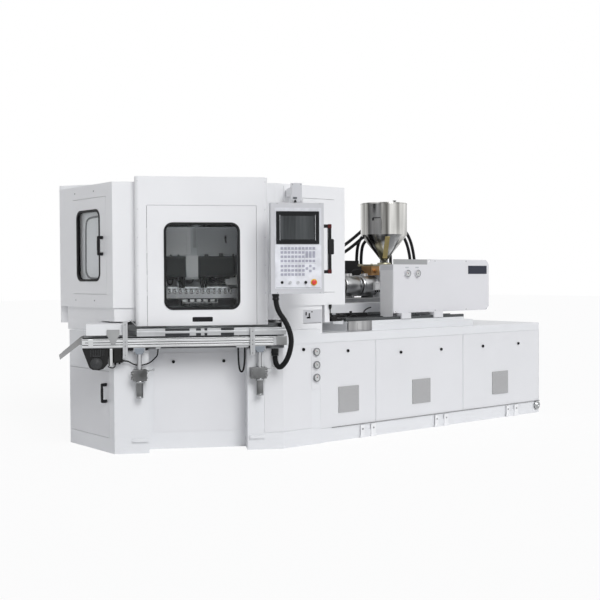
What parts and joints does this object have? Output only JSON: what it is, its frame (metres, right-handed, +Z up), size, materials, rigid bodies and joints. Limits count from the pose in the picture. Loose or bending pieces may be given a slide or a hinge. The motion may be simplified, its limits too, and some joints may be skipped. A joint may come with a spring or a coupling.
{
  "type": "injection blow moulding machine",
  "caption": "Three-station injection blow moulding machine: enclosed rotary core-rod head, take-off conveyor, horizontal injection unit with hopper and guard, operator panel on an arm.",
  "frame": {"origin": "on the floor under the axis of the index head", "axes": "+Z up, +X along the injection unit away from the tower, the front of the machine looks along -Y"},
  "size_m": [5.2567, 2.856, 2.36],
  "materials": {
    "white_paint": "smooth gloss",
    "base_paint": "smooth gloss",
    "panel_paint": "satin",
    "grille_steel": "satin",
    "knob_black": "matte",
    "gauge_steel": "satin rim, white dial",
    "handle_black": "matte",
    "seal_rubber": "matte",
    "clear_pane": "clear",
    "bed_steel": "ground",
    "press_steel": "turned",
    "mould_steel": "ground",
    "platen_paint": "satin",
    "sleeve_steel": "turned",
    "head_steel": "ground",
    "rod_chrome": "polished",
    "frame_grey": "satin",
    "stripper_aluminium": "machined",
    "conveyor_aluminium": "extruded",
    "belt_rubber": "matte",
    "roller_steel": "turned",
    "motor_aluminium": "cast",
    "clamp_aluminium": "cast",
    "cover_sheet": "brushed",
    "slab_paint": "satin",
    "rail_steel": "ground",
    "carriage_paint": "satin",
    "barrel_steel": "banded",
    "screw_steel": "polished",
    "drive_paint": "satin",
    "hopper_steel": "polished",
    "lid_steel": "brushed",
    "guard_paint": "smooth gloss",
    "arm_paint": "satin",
    "case_paint": "satin",
    "panel_grey": "matte film",
    "stop_red": "gloss",
    "left_green": "gloss",
    "right_black": "gloss",
    "selector_black": "matte",
    "conduit_grey": "ribbed",
    "cable_black": "matte",
    "hose_black": "matte",
    "valve_black": "painted black"
  },
  "bodies": {
    "machine": {"tower_base": "base_paint", "injection_base": "base_paint", "base_panels": "panel_paint", "vent_grilles": "grille_steel", "panel_knobs": "knob_black", "gauges": "gauge_steel", "tower_skirt": "white_paint", "tower_shell": "white_paint", "front_hood": "white_paint", "rear_hood": "white_paint", "machine_bed": "bed_steel", "press_frame": "press_steel", "lower_moulds": "mould_steel", "stripper_frame": "frame_grey", "conveyor_supports": "clamp_aluminium", "bed_slab": "slab_paint", "linear_rails": "rail_steel", "pendant_arm": "arm_paint", "pendant_case": "case_paint", "pendant_panel": "panel_grey", "pendant_conduit": "conduit_grey", "hydraulic_lines": "hose_black", "valve_stand": "valve_black"},
    "base_door": {"base_door": "panel_paint", "base_door_handle": "handle_black"},
    "front_door": {"front_door": "white_paint", "front_seal": "seal_rubber", "front_pane": "clear_pane"},
    "rear_door": {"rear_door": "white_paint", "rear_seal": "seal_rubber", "rear_pane": "clear_pane"},
    "left_door": {"left_door": "white_paint", "left_seal": "seal_rubber", "left_pane": "clear_pane", "left_handle": "handle_black"},
    "right_door": {"right_door": "white_paint"},
    "injection_platen": {"injection_platen": "platen_paint"},
    "blow_platen": {"blow_platen": "platen_paint"},
    "index_lift": {"index_sleeve": "sleeve_steel"},
    "index_head": {"turret_head": "head_steel", "core_rods": "rod_chrome"},
    "stripper": {"stripper_bar": "stripper_aluminium"},
    "conveyor": {"conveyor_frame": "conveyor_aluminium", "conveyor_belt": "belt_rubber", "conveyor_motor": "motor_aluminium", "conveyor_cover": "cover_sheet", "conveyor_lines": "cable_black"},
    "drive_roller": {"drive_roller": "roller_steel"},
    "idler_roller": {"idler_roller": "roller_steel"},
    "carriage": {"injection_carriage": "carriage_paint", "barrel": "barrel_steel", "hopper": "hopper_steel"},
    "crosshead": {"injection_drive": "drive_paint"},
    "screw": {"screw": "screw_steel"},
    "hopper_lid": {"hopper_lid": "lid_steel"},
    "guard": {"sliding_guard": "guard_paint"},
    "e_stop": {"e_stop": "stop_red"},
    "left_button": {"left_button": "left_green"},
    "right_button": {"right_button": "right_black"},
    "selector": {"selector": "selector_black"}
  },
  "joints": [
    {"name": "base_door_hinge", "type": "hinge", "parent": "machine", "child": "base_door", "pos_m": [-1.11, 0.395, 0.4], "axis": [0, 0, 1], "range_deg": [-110, 0]},
    {"name": "front_door_hinge", "type": "hinge", "parent": "machine", "child": "front_door", "pos_m": [-0.4575, -0.79241, 2.112], "axis": [0.866, -0.5, 0], "range_deg": [-80, 0]},
    {"name": "rear_door_hinge", "type": "hinge", "parent": "machine", "child": "rear_door", "pos_m": [-0.575, 0.99593, 2.112], "axis": [-0.866, -0.5, 0], "range_deg": [-80, 0]},
    {"name": "left_door_hinge", "type": "hinge", "parent": "machine", "child": "left_door", "pos_m": [-1.07, 0.4, 1.78], "axis": [0, 0, 1], "range_deg": [-110, 0]},
    {"name": "right_door_hinge", "type": "hinge", "parent": "machine", "child": "right_door", "pos_m": [0.83, -1.04, 1.78], "axis": [0, 0, 1], "range_deg": [0, 110]},
    {"name": "clamp_slide", "type": "slide", "parent": "machine", "child": "injection_platen", "axis": [0, 0, 1], "range_m": [-0.2, 0]},
    {"name": "blow_clamp_slide", "type": "slide", "parent": "machine", "child": "blow_platen", "axis": [0, 0, 1], "range_m": [-0.2, 0]},
    {"name": "index_lift", "type": "slide", "parent": "machine", "child": "index_lift", "axis": [0, 0, 1], "range_m": [-0.05, 0]},
    {"name": "index_spin", "type": "hinge", "parent": "index_lift", "child": "index_head", "pos_m": [0, 0, 1.375], "axis": [0, 0, 1], "range_deg": [-240, 240]},
    {"name": "stripper_slide", "type": "slide", "parent": "machine", "child": "stripper", "axis": [0.5, 0.866, 0], "range_m": [0, 0.205]},
    {"name": "conveyor_height", "type": "slide", "parent": "machine", "child": "conveyor", "axis": [0, 0, 1], "range_m": [-0.015, 0.01]},
    {"name": "drive_roller_spin", "type": "hinge", "parent": "conveyor", "child": "drive_roller", "pos_m": [-1.23888, -0.22581, 0.95], "axis": [-0.5, -0.866, 0], "continuous": true},
    {"name": "idler_roller_spin", "type": "hinge", "parent": "conveyor", "child": "idler_roller", "pos_m": [0.10346, -1.00081, 0.95], "axis": [-0.5, -0.866, 0], "continuous": true},
    {"name": "carriage_slide", "type": "slide", "parent": "machine", "child": "carriage", "axis": [1, 0, 0], "range_m": [0, 0.2]},
    {"name": "injection_stroke", "type": "slide", "parent": "carriage", "child": "crosshead", "axis": [1, 0, 0], "range_m": [0, 0.15]},
    {"name": "screw_spin", "type": "hinge", "parent": "crosshead", "child": "screw", "pos_m": [2.99, 0, 1.4], "axis": [1, 0, 0], "continuous": true},
    {"name": "hopper_lid_hinge", "type": "hinge", "parent": "carriage", "child": "hopper_lid", "pos_m": [2.46, 0.277, 2.292], "axis": [1, 0, 0], "range_deg": [-100, 0]},
    {"name": "guard_slide", "type": "slide", "parent": "machine", "child": "guard", "axis": [1, 0, 0], "range_m": [-0.69, 0]},
    {"name": "e_stop_press", "type": "slide", "parent": "machine", "child": "e_stop", "axis": [0.5, 0.866, 0], "range_m": [0, 0.004], "stiffness_N_per_m": 800},
    {"name": "left_button_press", "type": "slide", "parent": "machine", "child": "left_button", "axis": [0.5, 0.866, 0], "range_m": [0, 0.004], "stiffness_N_per_m": 800},
    {"name": "right_button_press", "type": "slide", "parent": "machine", "child": "right_button", "axis": [0.5, 0.866, 0], "range_m": [0, 0.004], "stiffness_N_per_m": 800},
    {"name": "selector_turn", "type": "hinge", "parent": "machine", "child": "selector", "pos_m": [0.10506, -1.50403, 1.451], "axis": [-0.5, -0.866, 0], "range_deg": [-45, 45]}
  ],
  "couplings": [
    {"joint": "blow_clamp_slide", "follows": "clamp_slide", "ratio": 1},
    {"joint": "index_lift", "follows": "clamp_slide", "ratio": 0.25},
    {"joint": "idler_roller_spin", "follows": "drive_roller_spin", "ratio": 1}
  ]
}
